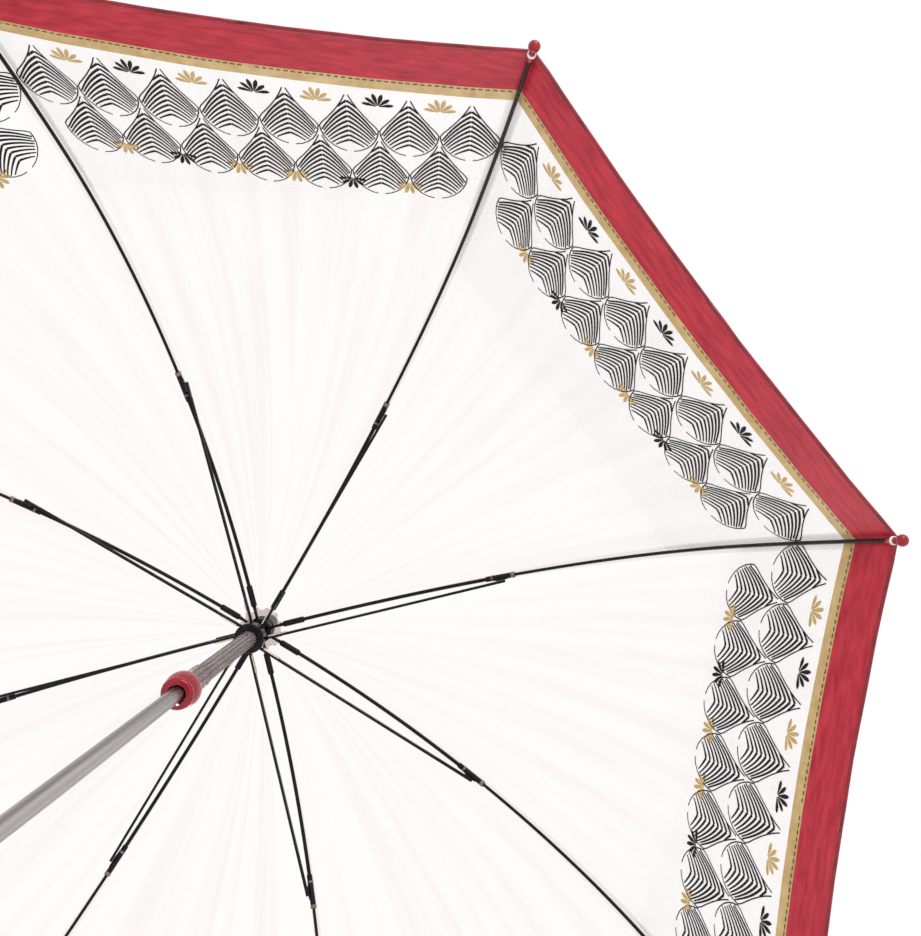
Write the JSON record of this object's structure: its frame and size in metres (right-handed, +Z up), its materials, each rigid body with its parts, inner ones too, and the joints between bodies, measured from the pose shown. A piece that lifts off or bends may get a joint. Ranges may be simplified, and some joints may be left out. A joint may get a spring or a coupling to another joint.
{
  "type": "clear bubble umbrella",
  "caption": "Clear dome umbrella with a red border, folding ribs and stretchers, a sliding runner and a crook handle.",
  "frame": {"origin": "on the shaft's axis at the middle of the handle's straight grip", "axes": "+Z up the shaft towards the ferrule, +X along rib 1 and the crook's hook"},
  "size_m": [0.8988, 0.8988, 0.92],
  "materials": {
    "shaft": "satin",
    "black": "semi-gloss",
    "black_steel": "semi-gloss",
    "wire": "satin",
    "clear_plastic": "clear",
    "red": "gloss",
    "canopy": "clear flexible sheet"
  },
  "bodies": {
    "shaft": {"shaft_tube": "shaft", "crown_hub": "black", "crown_wire": "wire", "top_rosette": "clear_plastic", "ferrule": "black", "handle_crook": "red", "handle_collar": "black"},
    "runner": {"runner_crown": "black", "runner_sleeve": "clear_plastic", "runner_collar": "red"},
    "top_catch": {"top_catch": "wire"},
    "bottom_catch": {"bottom_catch": "wire"},
    "rib_1": {"rib_inner_1": "black_steel", "rib_outer_1": "black_steel", "rib_joint_1": "black", "rib_tip_1": "red", "canopy_panel_1": "canopy"},
    "stretcher_1": {"stretcher_1": "black_steel"},
    "rib_2": {"rib_inner_2": "black_steel", "rib_outer_2": "black_steel", "rib_joint_2": "black", "rib_tip_2": "red", "canopy_panel_2": "canopy"},
    "stretcher_2": {"stretcher_2": "black_steel"},
    "rib_3": {"rib_inner_3": "black_steel", "rib_outer_3": "black_steel", "rib_joint_3": "black", "rib_tip_3": "red", "canopy_panel_3": "canopy"},
    "stretcher_3": {"stretcher_3": "black_steel"},
    "rib_4": {"rib_inner_4": "black_steel", "rib_outer_4": "black_steel", "rib_joint_4": "black", "rib_tip_4": "red", "canopy_panel_4": "canopy"},
    "stretcher_4": {"stretcher_4": "black_steel"},
    "rib_5": {"rib_inner_5": "black_steel", "rib_outer_5": "black_steel", "rib_joint_5": "black", "rib_tip_5": "red", "canopy_panel_5": "canopy"},
    "stretcher_5": {"stretcher_5": "black_steel"},
    "rib_6": {"rib_inner_6": "black_steel", "rib_outer_6": "black_steel", "rib_joint_6": "black", "rib_tip_6": "red", "canopy_panel_6": "canopy"},
    "stretcher_6": {"stretcher_6": "black_steel"},
    "rib_7": {"rib_inner_7": "black_steel", "rib_outer_7": "black_steel", "rib_joint_7": "black", "rib_tip_7": "red", "canopy_panel_7": "canopy"},
    "stretcher_7": {"stretcher_7": "black_steel"},
    "rib_8": {"rib_inner_8": "black_steel", "rib_outer_8": "black_steel", "rib_joint_8": "black", "rib_tip_8": "red", "canopy_panel_8": "canopy"},
    "stretcher_8": {"stretcher_8": "black_steel"}
  },
  "joints": [
    {"name": "runner_slide", "type": "slide", "parent": "shaft", "child": "runner", "axis": [0, 0, -1], "range_m": [0, 0.33892], "deforming": ["top_catch", "bottom_catch"]},
    {"name": "rib_1_hinge", "type": "hinge", "parent": "shaft", "child": "rib_1", "pos_m": [0.0076, 0, 0.78], "axis": [0, 1, 0], "range_deg": [0, 48.77], "deforming": ["canopy_panel_1"]},
    {"name": "stretcher_1_hinge", "type": "hinge", "parent": "runner", "child": "stretcher_1", "pos_m": [0.0094, 0.0039, 0.741], "axis": [0, 1, 0], "range_deg": [-65.64, 0]},
    {"name": "rib_2_hinge", "type": "hinge", "parent": "shaft", "child": "rib_2", "pos_m": [0.00537, 0.00537, 0.78], "axis": [-0.7071, 0.7071, 0], "range_deg": [0, 48.77], "deforming": ["canopy_panel_2"]},
    {"name": "stretcher_2_hinge", "type": "hinge", "parent": "runner", "child": "stretcher_2", "pos_m": [0.00389, 0.0094, 0.741], "axis": [-0.7071, 0.7071, 0], "range_deg": [-65.64, 0]},
    {"name": "rib_3_hinge", "type": "hinge", "parent": "shaft", "child": "rib_3", "pos_m": [0, 0.0076, 0.78], "axis": [-1, 0, 0], "range_deg": [0, 48.77], "deforming": ["canopy_panel_3"]},
    {"name": "stretcher_3_hinge", "type": "hinge", "parent": "runner", "child": "stretcher_3", "pos_m": [-0.0039, 0.0094, 0.741], "axis": [-1, 0, 0], "range_deg": [-65.64, 0]},
    {"name": "rib_4_hinge", "type": "hinge", "parent": "shaft", "child": "rib_4", "pos_m": [-0.00537, 0.00537, 0.78], "axis": [-0.7071, -0.7071, 0], "range_deg": [0, 48.77], "deforming": ["canopy_panel_4"]},
    {"name": "stretcher_4_hinge", "type": "hinge", "parent": "runner", "child": "stretcher_4", "pos_m": [-0.0094, 0.00389, 0.741], "axis": [-0.7071, -0.7071, 0], "range_deg": [-65.64, 0]},
    {"name": "rib_5_hinge", "type": "hinge", "parent": "shaft", "child": "rib_5", "pos_m": [-0.0076, 0, 0.78], "axis": [0, -1, 0], "range_deg": [0, 48.77], "deforming": ["canopy_panel_5"]},
    {"name": "stretcher_5_hinge", "type": "hinge", "parent": "runner", "child": "stretcher_5", "pos_m": [-0.0094, -0.0039, 0.741], "axis": [0, -1, 0], "range_deg": [-65.64, 0]},
    {"name": "rib_6_hinge", "type": "hinge", "parent": "shaft", "child": "rib_6", "pos_m": [-0.00537, -0.00537, 0.78], "axis": [0.7071, -0.7071, 0], "range_deg": [0, 48.77], "deforming": ["canopy_panel_6"]},
    {"name": "stretcher_6_hinge", "type": "hinge", "parent": "runner", "child": "stretcher_6", "pos_m": [-0.00389, -0.0094, 0.741], "axis": [0.7071, -0.7071, 0], "range_deg": [-65.64, 0]},
    {"name": "rib_7_hinge", "type": "hinge", "parent": "shaft", "child": "rib_7", "pos_m": [0, -0.0076, 0.78], "axis": [1, 0, 0], "range_deg": [0, 48.77], "deforming": ["canopy_panel_7"]},
    {"name": "stretcher_7_hinge", "type": "hinge", "parent": "runner", "child": "stretcher_7", "pos_m": [0.0039, -0.0094, 0.741], "axis": [1, 0, 0], "range_deg": [-65.64, 0]},
    {"name": "rib_8_hinge", "type": "hinge", "parent": "shaft", "child": "rib_8", "pos_m": [0.00537, -0.00537, 0.78], "axis": [0.7071, 0.7071, 0], "range_deg": [0, 48.77], "deforming": ["canopy_panel_8"]},
    {"name": "stretcher_8_hinge", "type": "hinge", "parent": "runner", "child": "stretcher_8", "pos_m": [0.0094, -0.00389, 0.741], "axis": [0.7071, 0.7071, 0], "range_deg": [-65.64, 0]},
    {"name": "top_catch_press", "type": "hinge", "parent": "shaft", "child": "top_catch", "pos_m": [-0.0026, 0, 0.5317], "axis": [0, 1, 0], "range_deg": [-5, 0], "stiffness_Nm_per_rad": 0.05},
    {"name": "bottom_catch_press", "type": "hinge", "parent": "shaft", "child": "bottom_catch", "pos_m": [-0.0026, 0, 0.2381], "axis": [0, 1, 0], "range_deg": [-5, 0], "stiffness_Nm_per_rad": 0.05}
  ],
  "couplings": [
    {"joint": "rib_1_hinge", "follows": "runner_slide", "rad_per_m": 2.5112},
    {"joint": "stretcher_1_hinge", "follows": "runner_slide", "rad_per_m": -3.3797},
    {"joint": "rib_2_hinge", "follows": "runner_slide", "rad_per_m": 2.5112},
    {"joint": "stretcher_2_hinge", "follows": "runner_slide", "rad_per_m": -3.3797},
    {"joint": "rib_3_hinge", "follows": "runner_slide", "rad_per_m": 2.5112},
    {"joint": "stretcher_3_hinge", "follows": "runner_slide", "rad_per_m": -3.3797},
    {"joint": "rib_4_hinge", "follows": "runner_slide", "rad_per_m": 2.5112},
    {"joint": "stretcher_4_hinge", "follows": "runner_slide", "rad_per_m": -3.3797},
    {"joint": "rib_5_hinge", "follows": "runner_slide", "rad_per_m": 2.5112},
    {"joint": "stretcher_5_hinge", "follows": "runner_slide", "rad_per_m": -3.3797},
    {"joint": "rib_6_hinge", "follows": "runner_slide", "rad_per_m": 2.5112},
    {"joint": "stretcher_6_hinge", "follows": "runner_slide", "rad_per_m": -3.3797},
    {"joint": "rib_7_hinge", "follows": "runner_slide", "rad_per_m": 2.5112},
    {"joint": "stretcher_7_hinge", "follows": "runner_slide", "rad_per_m": -3.3797},
    {"joint": "rib_8_hinge", "follows": "runner_slide", "rad_per_m": 2.5112},
    {"joint": "stretcher_8_hinge", "follows": "runner_slide", "rad_per_m": -3.3797}
  ]
}
